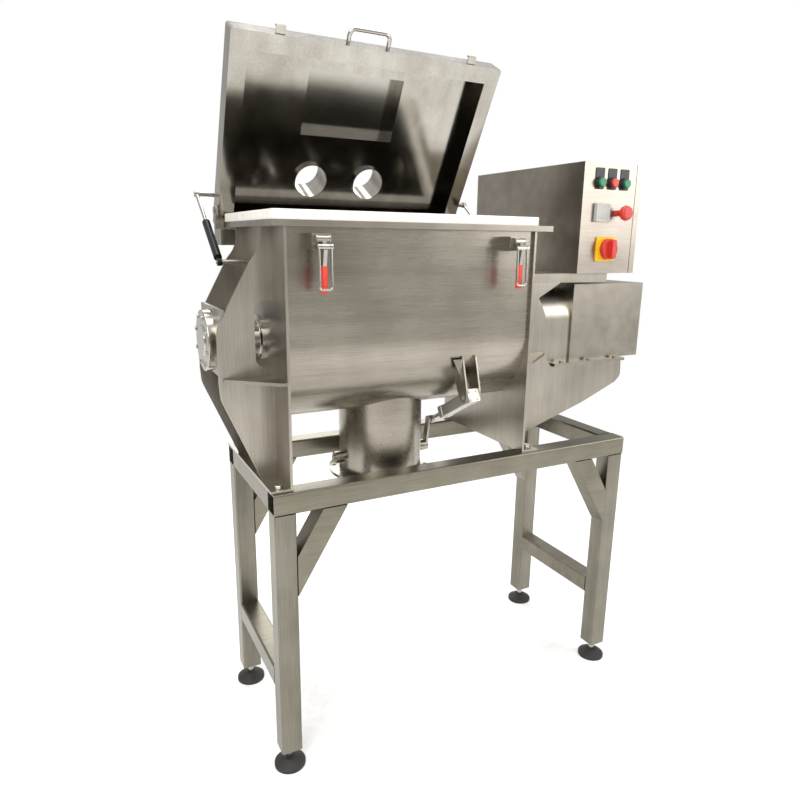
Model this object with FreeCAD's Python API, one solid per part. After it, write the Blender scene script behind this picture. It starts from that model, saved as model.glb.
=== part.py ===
import FreeCAD, Part
import math
import os

# Ribbon blender: a U-shaped stainless trough with a double ribbon agitator, carried on a
# square-tube stand.  Millimetres.  X runs along the shaft, Y to the back, Z up, and the floor is
# Z = 0.  Shapes are modelled about the middle of the stand and moved to the machine's middle
# when they are written out.

Vec = FreeCAD.Vector
X_AXIS = Vec(1, 0, 0)
Y_AXIS = Vec(0, 1, 0)
Z_AXIS = Vec(0, 0, 1)

# ---------------------------------------------------------------- driving dimensions
# Stand
STAND_LENGTH = 1020.0
STAND_WIDTH = 409.0
STAND_TOP = 708.0
TUBE = 50.0
TUBE_WALL = 3.0
TUBE_CORNER = 5.0
LEG_BOTTOM = 50.0
LOW_RAIL_TOP = 258.0
BRACE_FOOT = 63.0          # from the leg's inner face to the brace's near edge, on the rail
BRACE_DROP = 104.0         # from the rail down to the brace's near edge, on the leg
PAD_RADIUS = 37.5
PAD_HEIGHT = 22.0
STEM_RADIUS = 8.0

# Trough
SHAFT_HEIGHT = 1020.0
TROUGH_INNER_RADIUS = 184.0
SHEET = 3.0                # trough wall
TROUGH_LENGTH = 620.0
TROUGH_MIDDLE = -153.0
END_PLATE = 6.0
END_PLATE_WIDTH = 390.0
TROUGH_TOP = 1267.0
FOOT_FLANGE = 44.0
RIM_HEIGHT = 13.0
RIM_HALF_WIDTH = 203.0
RIM_LEFT = 26.0            # how far the rim stands past the left end plate
RIM_RIGHT = 42.0           # and past the right one
SEAL_HEIGHT = 20.0
SEAL_WIDTH = 26.0
SEAL_HALF_WIDTH = 200.0
SEAL_LEFT = 24.0
SEAL_RIGHT = 3.0

# Gussets at the ends
GUSSET = 6.0
GUSSET_OFFSET = 99.0       # inner face, from the shaft's plane
STIFFENER = 7.0
STIFFENER_HEIGHT = 950.0

# Shaft, bearing and agitator
SHAFT_RADIUS = 25.0
RUNNING_CLEARANCE = 0.05
SEAT_GAP = 0.3
HOUSING_RADIUS = 68.0
HOUSING_LENGTH = 56.0
HOUSING_LEFT = -596.0
CAP_THICKNESS = 8.0
BEARING_RADIUS = 45.0
BEARING_WIDTH = 23.0
GLAND_RADIUS = 52.0
GLAND_LENGTH = 34.0
ARM_RADIUS = 9.0
ARM_SPACING = 73.0
ARMS_PER_HALF = 4
OUTER_RIBBON_RADIUS = 178.0
OUTER_RIBBON_WIDTH = 28.0
INNER_RIBBON_RADIUS = 106.0
INNER_RIBBON_WIDTH = 24.0
RIBBON_THICKNESS = 6.0

# Discharge
SPOUT_MIDDLE = -160.0
SPOUT_RADIUS = 107.0
SPOUT_WALL = 3.0
SPOUT_BOTTOM = 655.0
OUTLET_FLANGE_RADIUS = 134.0
OUTLET_FLANGE = 8.0
OUTLET_BOLT_CIRCLE = 242.0
OUTLET_BOLTS = 8
OUTLET_HOLE_RADIUS = 5.5
VALVE_HEIGHT = 700.0
VALVE_SHAFT_RADIUS = 8.0
VALVE_GAP = 0.6
VALVE_DISC = 6.0
CRANK_LENGTH = 76.0
CRANK_LEAN = 10.6          # degrees from upright, towards the front
ACTUATOR_X = -12.0
ACTUATOR_PIVOT_Y = -198.0
ACTUATOR_PIVOT_Z = 876.0

# Lid
LID_LEFT = -507.0
LID_RIGHT = 174.0
LID_HEIGHT = 48.0
LID_SHEET = 2.0
LID_LIP = 38.0
LID_GAP = 0.4              # over the seal when closed
LID_PIVOT_Y = 207.0
LID_PIVOT_Z = 1308.0
LID_REAR = 56.4            # behind the pivot
LID_FRONT = 411.6          # in front of the pivot
LID_OPENING = 60.5         # degrees
LID_PIN_RADIUS = 6.0
HATCH_MIDDLE = -187.0
HATCH_LENGTH = 250.0
HATCH_NEAR = 186.0
HATCH_DEPTH = 157.0
HATCH_COLLAR = 36.0
PORT_SPACING = 161.0
PORT_RADIUS = 44.0
PORT_REACH = 74.0
PORT_HEIGHT = 60.0

# Gas springs
SPRING_X_LEFT = -552.0
SPRING_X_RIGHT = 219.0
SPRING_FOOT_Y = 9.0
SPRING_FOOT_Z = 1190.0
SPRING_HEAD_Y = 222.0
SPRING_HEAD_Z = 1345.0
STUD_RADIUS = 6.0
SPRING_PIN_RADIUS = 4.0
SPRING_TUBE_RADIUS = 9.0
SPRING_TUBE_LENGTH = 132.0
SPRING_ROD_RADIUS = 4.0
SPRING_EYE_RADIUS = 8.0
SPRING_EYE = 10.0

# Latches
LATCH_MIDDLE = -158.0
LATCH_SPACING = 484.0
LATCH_PIVOT_Y = -231.0
LATCH_PIVOT_Z = 1243.0
LOOP_PIVOT_Y = -243.0
LOOP_PIVOT_Z = 1228.0
LOOP_LENGTH = 84.0
LOOP_WIRE = 2.5

# Drive
DRIVE_SEAT = 908.0         # top of the right gussets' flanges
BASE_PLATE = 8.0
COVER_LEFT = 392.0
COVER_RIGHT = 655.0
COVER_FRONT = -86.0
COVER_REAR = 300.0
COVER_TOP = 1130.0
COVER_SHEET = 2.0
NECK_RADIUS = 80.0
REDUCER_MIDDLE = 490.0

# Control box
SHELF_BOTTOM = 1137.0
SHELF_HEIGHT = 24.0
SHELF_RIGHT = 490.0
SHELF_FRONT = -105.0
SHELF_REAR = 330.0
BOX_LEFT = 366.0
BOX_WIDTH = 206.0
BOX_FRONT = -120.0
BOX_DEPTH = 490.0
BOX_HEIGHT = 286.0
BOX_SHEET = 2.0
DOOR_DEPTH = 18.0
DOOR_GAP = 2.0

# The middle of the whole machine, from the middle of the stand
MACHINE_MIDDLE_X = 25.0
MACHINE_MIDDLE_Y = 65.75

# ---------------------------------------------------------------- places worked out from these
LEFT_END = TROUGH_MIDDLE - TROUGH_LENGTH / 2
RIGHT_END = TROUGH_MIDDLE + TROUGH_LENGTH / 2
LEFT_FACE = LEFT_END - END_PLATE
RIGHT_FACE = RIGHT_END + END_PLATE
TROUGH_RADIUS = TROUGH_INNER_RADIUS + SHEET
END_HALF = END_PLATE_WIDTH / 2
RIM_TOP = TROUGH_TOP + RIM_HEIGHT
SEAL_TOP = RIM_TOP + SEAL_HEIGHT
LID_BOTTOM = SEAL_TOP + LID_GAP
LID_TOP = LID_BOTTOM + LID_HEIGHT
RAIL_BOTTOM = STAND_TOP - TUBE
SHELF_TOP = SHELF_BOTTOM + SHELF_HEIGHT
BOX_RIGHT = BOX_LEFT + BOX_WIDTH
BOX_REAR = BOX_FRONT + BOX_DEPTH
BOX_TOP = SHELF_TOP + BOX_HEIGHT
COVER_BOTTOM = DRIVE_SEAT + BASE_PLATE


# ---------------------------------------------------------------- building blocks
def on_plane(axis, level):
    """Give the function that puts an outline point on the plane square to an axis."""
    if axis == "x":
        return lambda u, v: Vec(level, u, v)
    if axis == "y":
        return lambda u, v: Vec(u, level, v)
    return lambda u, v: Vec(u, v, level)


def outline(corners, place):
    """Join (u, v) corners by lines, and (u, v, radius) corners by tangent arcs."""
    ends = []
    for index, corner in enumerate(corners):
        point = Vec(corner[0], corner[1], 0)
        radius = corner[2] if len(corner) > 2 else 0
        if radius == 0:
            ends.append((point, None, point))
            continue
        before = corners[index - 1]
        after = corners[(index + 1) % len(corners)]
        back = (Vec(before[0], before[1], 0) - point).normalize()
        ahead = (Vec(after[0], after[1], 0) - point).normalize()
        half = back.getAngle(ahead) / 2
        reach = radius / math.tan(half)
        inward = (back + ahead).normalize()
        middle = point + inward * (radius / math.sin(half) - radius)
        ends.append((point + back * reach, middle, point + ahead * reach))
    edges = []
    for index, (start, middle, end) in enumerate(ends):
        here = place(end.x, end.y)
        if middle is not None:
            edges.append(Part.Arc(place(start.x, start.y), place(middle.x, middle.y), here).toShape())
        following = ends[(index + 1) % len(ends)][0]
        there = place(following.x, following.y)
        if (there - here).Length > 0.001:
            edges.append(Part.LineSegment(here, there).toShape())
    return Part.Wire(edges)


def plate(corners, axis, start, end):
    """Extrude an outline along an axis, from one level to another."""
    face = Part.Face(outline(corners, on_plane(axis, start)))
    direction = {"x": X_AXIS, "y": Y_AXIS, "z": Z_AXIS}[axis]
    return face.extrude(direction * (end - start))


def block(x0, x1, y0, y1, z0, z1):
    return Part.makeBox(x1 - x0, y1 - y0, z1 - z0, Vec(x0, y0, z0))


def rod(start, end, radius):
    """A round bar between two points."""
    start = Vec(*start)
    run = Vec(*end) - start
    return Part.makeCylinder(radius, run.Length, start, run)


def pipe(start, end, outer, inner):
    """A round tube between two points, open at both ends."""
    return rod(start, end, outer).cut(rod(start, end, inner))


def fused(shapes):
    """Weld shapes into one piece."""
    return shapes[0].multiFuse(shapes[1:]).removeSplitter()


def rounded(u0, u1, v0, v1, radius):
    return [(u0, v0, radius), (u1, v0, radius), (u1, v1, radius), (u0, v1, radius)]


def square_tube(axis, u0, v0, start, end, wall=TUBE_WALL):
    """Square stand tube with rolled corners; (u0, v0) is its low corner."""
    outer = plate(rounded(u0, u0 + TUBE, v0, v0 + TUBE, TUBE_CORNER), axis, start, end)
    inner = rounded(u0 + wall, u0 + TUBE - wall, v0 + wall, v0 + TUBE - wall, TUBE_CORNER - wall)
    return outer.cut(plate(inner, axis, start, end))


def mirrored_y(shape):
    return shape.mirror(Vec(0, 0, 0), Y_AXIS)


def group(shapes):
    """Separate solids kept in one node."""
    return Part.makeCompound(shapes)


def turned(shape, y, z, degrees):
    """Turn a shape about the X-parallel line through (y, z)."""
    copy = shape.copy()
    copy.rotate(Vec(0, y, z), X_AXIS, degrees)
    return copy


# ---------------------------------------------------------------- stand
def stand_corners():
    """The low corner of each leg, and the direction from it to the stand's middle."""
    for side in (-1, 1):
        for face in (-1, 1):
            x0 = side * (STAND_LENGTH / 2 - TUBE / 2) - TUBE / 2
            y0 = face * (STAND_WIDTH / 2 - TUBE / 2) - TUBE / 2
            yield side, face, x0, y0


def stand_legs():
    legs = [square_tube("z", x0, y0, LEG_BOTTOM, RAIL_BOTTOM) for side, face, x0, y0 in stand_corners()]
    return group(legs)


def stand_rails():
    """Two long rails, and two short ones at the top and two low between the legs."""
    half = STAND_LENGTH / 2
    depth = STAND_WIDTH / 2
    rails = [square_tube("x", y0, RAIL_BOTTOM, -half, half) for y0 in (-depth, depth - TUBE)]
    for x0 in (-half, half - TUBE):
        for top in (STAND_TOP, LOW_RAIL_TOP):
            rails.append(square_tube("y", x0, top - TUBE, TUBE - depth, depth - TUBE))
    return group(rails)


def stand_braces():
    """Mitred knee braces from each leg to the long rail above it."""
    slope = math.atan2(BRACE_DROP, BRACE_FOOT)
    on_rail = TUBE / math.sin(slope)
    on_leg = TUBE / math.cos(slope)
    braces = []
    for side, face, x0, y0 in stand_corners():
        leg_face = side * (STAND_LENGTH / 2 - TUBE)

        def brace(wall):
            near = BRACE_FOOT + wall / math.sin(slope)
            far = BRACE_FOOT + on_rail - wall / math.sin(slope)
            upper = RAIL_BOTTOM - BRACE_DROP - wall / math.cos(slope)
            lower = RAIL_BOTTOM - BRACE_DROP - on_leg + wall / math.cos(slope)
            corners = [(leg_face - side * near, RAIL_BOTTOM), (leg_face - side * far, RAIL_BOTTOM),
                       (leg_face, lower), (leg_face, upper)]
            return plate(corners, "y", y0 + wall, y0 + TUBE - wall)

        braces.append(brace(0).cut(brace(TUBE_WALL)))
    return group(braces)


def foot_parts():
    """Threaded stems with their lock nuts, and the moulded pads that they stand in."""
    stems = []
    pads = []
    for side, face, x0, y0 in stand_corners():
        x = x0 + TUBE / 2
        y = y0 + TUBE / 2
        inside = TUBE / 2 - TUBE_WALL - SEAT_GAP
        end_cap = plate(rounded(x - inside, x + inside, y - inside, y + inside, TUBE_CORNER), "z",
                        LEG_BOTTOM, LEG_BOTTOM + 8)
        stem = rod((x, y, PAD_HEIGHT / 2), (x, y, LEG_BOTTOM), STEM_RADIUS)
        nut_corners = [(x + 14 * math.cos(math.radians(a)), y + 14 * math.sin(math.radians(a)))
                       for a in range(0, 360, 60)]
        nut = plate(nut_corners, "z", LEG_BOTTOM - 10, LEG_BOTTOM)
        stems.append(fused([stem, nut, end_cap]))
        profile = [(0, 0), (PAD_RADIUS, 0), (PAD_RADIUS, 8, 3), (STEM_RADIUS * 2, PAD_HEIGHT, 4), (0, PAD_HEIGHT)]
        face_wire = outline(profile, lambda u, v: Vec(x + u, y, v))
        pad = Part.Face(face_wire).revolve(Vec(x, y, 0), Z_AXIS, 360)
        pads.append(pad.cut(rod((x, y, PAD_HEIGHT / 2), (x, y, PAD_HEIGHT + 1), STEM_RADIUS)))
    return group(stems), group(pads)


# ---------------------------------------------------------------- trough
def trough_section(radius, top):
    """U section about the shaft's axis: a half round below, straight walls above."""
    place = on_plane("x", LEFT_END)
    bottom = Part.Arc(place(-radius, SHAFT_HEIGHT), place(0, SHAFT_HEIGHT - radius), place(radius, SHAFT_HEIGHT))
    right = Part.LineSegment(place(radius, SHAFT_HEIGHT), place(radius, top))
    across = Part.LineSegment(place(radius, top), place(-radius, top))
    left = Part.LineSegment(place(-radius, top), place(-radius, SHAFT_HEIGHT))
    return Part.Face(Part.Wire([edge.toShape() for edge in (bottom, right, across, left)]))


def trough_shell():
    outside = trough_section(TROUGH_RADIUS, TROUGH_TOP).extrude(X_AXIS * TROUGH_LENGTH)
    inside = trough_section(TROUGH_INNER_RADIUS, TROUGH_TOP).extrude(X_AXIS * TROUGH_LENGTH)
    bore = SPOUT_RADIUS - SPOUT_WALL
    outlet = rod((SPOUT_MIDDLE, 0, VALVE_HEIGHT), (SPOUT_MIDDLE, 0, SHAFT_HEIGHT), bore)
    return outside.cut(inside).cut(outlet)


def end_plate(inner_face, side):
    """End plate with its shaft hole and, folded outwards at its foot, the flange on the rails."""
    outer_face = inner_face + side * END_PLATE
    flange_edge = outer_face + side * FOOT_FLANGE
    wall = block(min(inner_face, outer_face), max(inner_face, outer_face), -END_HALF, END_HALF,
                 STAND_TOP, TROUGH_TOP)
    foot = block(min(outer_face, flange_edge), max(outer_face, flange_edge), -END_HALF, END_HALF,
                 STAND_TOP, STAND_TOP + END_PLATE)
    shaft_hole = rod((inner_face - side, 0, SHAFT_HEIGHT), (outer_face + side, 0, SHAFT_HEIGHT),
                     SHAFT_RADIUS + 6)
    plate_shape = wall.fuse(foot).cut(shaft_hole)
    bolt_x = outer_face + side * FOOT_FLANGE / 2
    for y in (-1, 1):
        bolt_y = y * (STAND_WIDTH / 2 - TUBE / 2)
        hole = rod((bolt_x, bolt_y, STAND_TOP - 1), (bolt_x, bolt_y, STAND_TOP + END_PLATE + 1), 6)
        plate_shape = plate_shape.cut(hole)
    return plate_shape.removeSplitter()


def rim_flange():
    outer = block(LEFT_FACE - RIM_LEFT, RIGHT_FACE + RIM_RIGHT, -RIM_HALF_WIDTH, RIM_HALF_WIDTH,
                  TROUGH_TOP, RIM_TOP)
    opening = block(LEFT_END, RIGHT_END, -TROUGH_INNER_RADIUS, TROUGH_INNER_RADIUS, TROUGH_TOP, RIM_TOP)
    return outer.cut(opening)


def rim_seal():
    """Moulded seal frame on the rim, with rounded corners and edges."""
    x0 = LEFT_FACE - SEAL_LEFT
    x1 = RIGHT_FACE + SEAL_RIGHT
    inner_x1 = x1 - SEAL_WIDTH
    inner_y = SEAL_HALF_WIDTH - SEAL_WIDTH
    outer = plate(rounded(x0, x1, -SEAL_HALF_WIDTH, SEAL_HALF_WIDTH, 8), "z", RIM_TOP, SEAL_TOP)
    top_edges = [edge for edge in outer.Edges if edge.BoundBox.ZMin > SEAL_TOP - 0.1]
    outer = outer.makeFillet(3, top_edges)
    opening = plate(rounded(x0 + SEAL_WIDTH, inner_x1, -inner_y, inner_y, 4), "z", RIM_TOP, SEAL_TOP)
    return outer.cut(opening)


def left_gussets():
    """Plates from rim to foot that carry the outboard bearing, with a window at the gland."""
    face = LEFT_FACE
    corners = [(face, TROUGH_TOP), (face - 22, TROUGH_TOP), (face - 22, 1225, 60), (face - 47, 1194, 60),
               (face - 119, 1060, 40), (face - 122, 1046, 20), (face - 122, 941, 20), (face - 120, 905, 60),
               (face - 39, STAND_TOP + END_PLATE), (face, STAND_TOP + END_PLATE)]
    web = plate(corners, "y", -GUSSET_OFFSET - GUSSET, -GUSSET_OFFSET)
    window_corners = [(face, 969), (face, 1113), (face - 41, 1113, 21), (face - 41, 969, 21)]
    window = plate(window_corners, "y", -GUSSET_OFFSET - GUSSET, -GUSSET_OFFSET)
    front = web.cut(window)
    return group([front, mirrored_y(front)])


def right_gussets():
    """Brackets that carry the drive: an upper ear under the shelf and a long arm below."""
    face = RIGHT_FACE
    corners = [(face, SHELF_BOTTOM), (face + 163, SHELF_BOTTOM), (face + 92, 1098), (face + 113, 1062),
               (face + 121, 1038, 60), (face + 121, 952), (face + 148, DRIVE_SEAT), (face + 411, DRIVE_SEAT),
               (face + 414, 862, 22), (face + 394, 845, 14), (face + 274, 796, 300), (face + 44, 722),
               (face + 44, STAND_TOP + END_PLATE), (face, STAND_TOP + END_PLATE)]
    front = plate(corners, "y", -GUSSET_OFFSET - GUSSET, -GUSSET_OFFSET)
    return group([front, mirrored_y(front)])


def corner_stiffeners():
    """Flat triangles outside the gussets that tie them to the end plates."""
    ties = []
    near = -GUSSET_OFFSET - GUSSET
    for face, side, reach in ((LEFT_FACE, -1, 113), (RIGHT_FACE, 1, 120)):
        corners = [(face, near), (face + side * reach, near), (face + side * reach, near - 3),
                   (face + side * 12, -END_HALF), (face, -END_HALF)]
        tie = plate(corners, "z", STIFFENER_HEIGHT - STIFFENER, STIFFENER_HEIGHT)
        ties += [tie, mirrored_y(tie)]
    return group(ties)


# ---------------------------------------------------------------- shaft end: bearing and glands
BEARING_PLATE_RIGHT = HOUSING_LEFT + 24


def bearing_plate():
    corners = [(-GUSSET_OFFSET, 946), (GUSSET_OFFSET, 946), (GUSSET_OFFSET, 1096), (-GUSSET_OFFSET, 1096)]
    wall = plate(corners, "x", BEARING_PLATE_RIGHT - 8, BEARING_PLATE_RIGHT)
    seat = rod((BEARING_PLATE_RIGHT - 9, 0, SHAFT_HEIGHT), (BEARING_PLATE_RIGHT + 1, 0, SHAFT_HEIGHT),
               HOUSING_RADIUS)
    return wall.cut(seat)


def turned_piece(profile):
    """Revolve (x, radius) corners about the shaft's axis."""
    wire = outline(profile, lambda u, v: Vec(u, 0, SHAFT_HEIGHT + v))
    return Part.Face(wire).revolve(Vec(0, 0, SHAFT_HEIGHT), X_AXIS, 360)


def bearing_housing():
    left = HOUSING_LEFT
    right = HOUSING_LEFT + HOUSING_LENGTH
    seat_end = left + BEARING_WIDTH + 5
    return turned_piece([(left, BEARING_RADIUS), (left, HOUSING_RADIUS), (right, HOUSING_RADIUS, 4),
                         (right, SHAFT_RADIUS + 2), (seat_end, SHAFT_RADIUS + 2), (seat_end, BEARING_RADIUS)])


def bearing_cap():
    left = HOUSING_LEFT - CAP_THICKNESS
    cap = turned_piece([(left, 0), (left, 34), (left + 3, 36), (left + 3, HOUSING_RADIUS, 2),
                        (HOUSING_LEFT, HOUSING_RADIUS), (HOUSING_LEFT, BEARING_RADIUS),
                        (HOUSING_LEFT + 5, BEARING_RADIUS), (HOUSING_LEFT + 5, 38), (HOUSING_LEFT, 38),
                        (HOUSING_LEFT, 0)])
    for index in range(8):
        angle = math.radians(22.5 + 45 * index)
        y = 56 * math.cos(angle)
        z = SHAFT_HEIGHT + 56 * math.sin(angle)
        head = rod((left - 1, y, z), (left + 3, y, z), 5)
        cap = cap.fuse(head)
    return cap.removeSplitter()


def shaft_bearing():
    """Roller bearing: outer and inner races with the rollers between them."""
    left = HOUSING_LEFT + 5
    right = left + BEARING_WIDTH
    outer = pipe((left, 0, SHAFT_HEIGHT), (right, 0, SHAFT_HEIGHT), BEARING_RADIUS, BEARING_RADIUS - 5)
    inner = pipe((left, 0, SHAFT_HEIGHT), (right, 0, SHAFT_HEIGHT), SHAFT_RADIUS + 5,
                 SHAFT_RADIUS + RUNNING_CLEARANCE)
    gap = (BEARING_RADIUS - SHAFT_RADIUS - 10) / 2
    middle = SHAFT_RADIUS + 5 + gap
    rollers = []
    for index in range(12):
        angle = math.radians(30 * index)
        y = middle * math.cos(angle)
        z = SHAFT_HEIGHT + middle * math.sin(angle)
        rollers.append(rod((left + 3, y, z), (right - 3, y, z), gap))
    return group([outer, inner] + rollers)


def shaft_glands():
    """Packing glands bolted over the shaft holes of both end plates."""
    glands = []
    bore = SHAFT_RADIUS + RUNNING_CLEARANCE
    for face, side in ((LEFT_FACE, -1), (RIGHT_FACE, 1)):
        foot = face + side * 9
        tip = face + side * GLAND_LENGTH
        glands.append(turned_piece([(face, bore), (face, GLAND_RADIUS), (foot, GLAND_RADIUS),
                                    (foot, 40, 3), (tip, 40, 3), (tip, bore)]))
    return group(glands)


# ---------------------------------------------------------------- agitator
STATIONS = range(-ARMS_PER_HALF, ARMS_PER_HALF + 1)
ARM_REACH = OUTER_RIBBON_RADIUS - 10


def agitator_arms():
    """Round cross arms through the shaft, each a quarter turn on from the last."""
    arms = []
    for station in STATIONS:
        x = TROUGH_MIDDLE + station * ARM_SPACING
        y = ARM_REACH * (station % 2)
        z = ARM_REACH * (1 - station % 2)
        arms.append(rod((x, -y, SHAFT_HEIGHT - z), (x, y, SHAFT_HEIGHT + z), ARM_RADIUS))
    return arms


def agitator_shaft(arms):
    shaft = rod((HOUSING_LEFT + 1, 0, SHAFT_HEIGHT), (REDUCER_MIDDLE + 60, 0, SHAFT_HEIGHT), SHAFT_RADIUS)
    return shaft.cut(group(arms))


def ribbon(radius, width, start_degrees, hand, shift):
    """One screw-shaped strip from the middle of the shaft to its right end."""
    pitch = 4 * ARM_SPACING
    length = pitch + ARM_RADIUS - shift
    edges = []
    for r in (radius - width, radius):
        helix = Part.makeHelix(pitch, length, r, 0, hand < 0)
        edges.append(helix.Edges[0])
    strip = Part.makeRuledSurface(edges[0], edges[1]).extrude(Vec(0, 0, RIBBON_THICKNESS))
    strip.translate(Vec(0, 0, shift))
    strip.rotate(Vec(0, 0, 0), Z_AXIS, start_degrees)
    strip.rotate(Vec(0, 0, 0), Y_AXIS, 90)
    strip.translate(Vec(TROUGH_MIDDLE, 0, SHAFT_HEIGHT))
    return strip


def ribbons(radius, width, starts, hand, shift, arms):
    """Strips on the right half and their mirror images on the left, notched round the arms."""
    strips = []
    for start in starts:
        right = ribbon(radius, width, start, hand, shift).cut(group(arms)).Solids
        strips += right + [solid.mirror(Vec(TROUGH_MIDDLE, 0, 0), X_AXIS) for solid in right]
    return group(strips)


# ---------------------------------------------------------------- bent round bars
def bent_rod(points, radius, bend):
    """A round bar through the points, with every inner corner bent to the same radius."""
    points = [Vec(*point) for point in points]
    edges = []
    here = points[0]
    for index in range(1, len(points) - 1):
        corner = points[index]
        back = (points[index - 1] - corner).normalize()
        ahead = (points[index + 1] - corner).normalize()
        half = back.getAngle(ahead) / 2
        reach = bend / math.tan(half)
        middle = corner + (back + ahead).normalize() * (bend / math.sin(half) - bend)
        edges.append(Part.LineSegment(here, corner + back * reach).toShape())
        edges.append(Part.Arc(corner + back * reach, middle, corner + ahead * reach).toShape())
        here = corner + ahead * reach
    edges.append(Part.LineSegment(here, points[-1]).toShape())
    section = Part.Wire(Part.Circle(points[0], points[1] - points[0], radius).toShape())
    return Part.Wire(edges).makePipeShell([section], True, False)


# ---------------------------------------------------------------- lid, modelled closed
LID_FRONT_Y = LID_PIVOT_Y - LID_FRONT
LID_REAR_Y = LID_PIVOT_Y + LID_REAR
HATCH_REAR_Y = LID_PIVOT_Y - HATCH_NEAR
HATCH_FRONT_Y = HATCH_REAR_Y - HATCH_DEPTH
HATCH_TOP = LID_TOP + HATCH_COLLAR
LATCH_POSITIONS = (LATCH_MIDDLE - LATCH_SPACING / 2, LATCH_MIDDLE + LATCH_SPACING / 2)
SOCKET_GAP = 0.4


def opened(shape):
    """Swing a piece of the closed lid to its open rest."""
    return turned(shape, LID_PIVOT_Y, LID_PIVOT_Z, -LID_OPENING)


def head_pin_closed():
    """Where the gas spring's head pin sits on the closed lid."""
    angle = math.radians(LID_OPENING)
    y = SPRING_HEAD_Y - LID_PIVOT_Y
    z = SPRING_HEAD_Z - LID_PIVOT_Z
    return (LID_PIVOT_Y + y * math.cos(angle) - z * math.sin(angle),
            LID_PIVOT_Z + y * math.sin(angle) + z * math.cos(angle))


def lid_shell():
    """Folded pan with a lip round its open face, a hatch collar, two ports and its side pins."""
    sheet = LID_SHEET
    outer = plate(rounded(LID_LEFT, LID_RIGHT, LID_FRONT_Y, LID_REAR_Y, 6), "z", LID_BOTTOM, LID_TOP)
    hollow = plate(rounded(LID_LEFT + sheet, LID_RIGHT - sheet, LID_FRONT_Y + sheet, LID_REAR_Y - sheet, 4),
                   "z", LID_BOTTOM + sheet, LID_TOP - sheet)
    mouth = plate(rounded(LID_LEFT + LID_LIP, LID_RIGHT - LID_LIP, LID_FRONT_Y + LID_LIP,
                          LID_REAR_Y - LID_LIP, 3), "z", LID_BOTTOM - 1, LID_BOTTOM + sheet + 1)
    pan = outer.cut(hollow).cut(mouth)
    x0 = HATCH_MIDDLE - HATCH_LENGTH / 2
    x1 = HATCH_MIDDLE + HATCH_LENGTH / 2
    collar = block(x0, x1, HATCH_FRONT_Y, HATCH_REAR_Y, LID_TOP - sheet, HATCH_TOP)
    throat = block(x0 + sheet, x1 - sheet, HATCH_FRONT_Y + sheet, HATCH_REAR_Y - sheet,
                   LID_TOP - sheet - 1, HATCH_TOP + 1)
    pieces = [pan, collar]
    bores = [throat]
    port_y = LID_PIVOT_Y - PORT_REACH
    for side in (-1, 1):
        x = HATCH_MIDDLE + side * PORT_SPACING / 2
        pieces.append(rod((x, port_y, LID_TOP - 12), (x, port_y, LID_TOP + PORT_HEIGHT), PORT_RADIUS))
        pieces.append(rod((x, port_y, LID_TOP + PORT_HEIGHT - 6), (x, port_y, LID_TOP + PORT_HEIGHT),
                          PORT_RADIUS + 8))
        bores.append(rod((x, port_y, LID_TOP - 13), (x, port_y, LID_TOP + PORT_HEIGHT + 1),
                         PORT_RADIUS - sheet))
    pin_y, pin_z = head_pin_closed()
    for x, spring_x in ((LID_LEFT, SPRING_X_LEFT), (LID_RIGHT, SPRING_X_RIGHT)):
        side = -1 if x == LID_LEFT else 1
        tip = spring_x - side * (SPRING_EYE / 2 + SOCKET_GAP)
        pieces.append(rod((x - side, pin_y, pin_z), (tip, pin_y, pin_z), STUD_RADIUS))
        pieces.append(rod((x - side, LID_PIVOT_Y, LID_PIVOT_Z), (x + side * 10, LID_PIVOT_Y, LID_PIVOT_Z),
                          LID_PIN_RADIUS))
        pieces.append(rod((x + side * 8.2, LID_PIVOT_Y, LID_PIVOT_Z),
                          (x + side * 10, LID_PIVOT_Y, LID_PIVOT_Z), LID_PIN_RADIUS + 3))
    for x in LATCH_POSITIONS:
        pieces.append(block(x - 11, x + 11, LID_FRONT_Y - 17, LID_FRONT_Y + 1, LID_BOTTOM + 6, LID_BOTTOM + 9))
        pieces.append(block(x - 11, x + 11, LID_FRONT_Y - 17, LID_FRONT_Y - 14, LID_BOTTOM + 6, LID_BOTTOM + 15))
    shell = fused(pieces + hatch_knuckles())
    for bore in bores:
        shell = shell.cut(bore)
    return opened(shell)


def lid_handle():
    y0 = LID_FRONT_Y
    z = LID_BOTTOM + LID_HEIGHT / 2
    x0 = HATCH_MIDDLE - 50
    x1 = HATCH_MIDDLE + 50
    bar = bent_rod([(x0, y0, z), (x0, y0 - 30, z), (x1, y0 - 30, z), (x1, y0, z)], 5, 14)
    return opened(bar)


HATCH_HINGE_Y = HATCH_REAR_Y + 14
HATCH_HINGE_Z = HATCH_TOP - 8


def hatch_knuckles():
    """Knuckles and pins welded to the collar's rear wall."""
    pieces = []
    for side in (-1, 1):
        x = HATCH_MIDDLE + side * 80
        pieces.append(rod((x - 14, HATCH_HINGE_Y, HATCH_HINGE_Z), (x + 14, HATCH_HINGE_Y, HATCH_HINGE_Z), 5))
        pieces.append(block(x - 14, x + 14, HATCH_REAR_Y, HATCH_HINGE_Y, HATCH_HINGE_Z - 5, HATCH_HINGE_Z - 2))
        pieces.append(rod((x - 34, HATCH_HINGE_Y, HATCH_HINGE_Z), (x + 34, HATCH_HINGE_Y, HATCH_HINGE_Z), 2.5))
    return pieces


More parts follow.
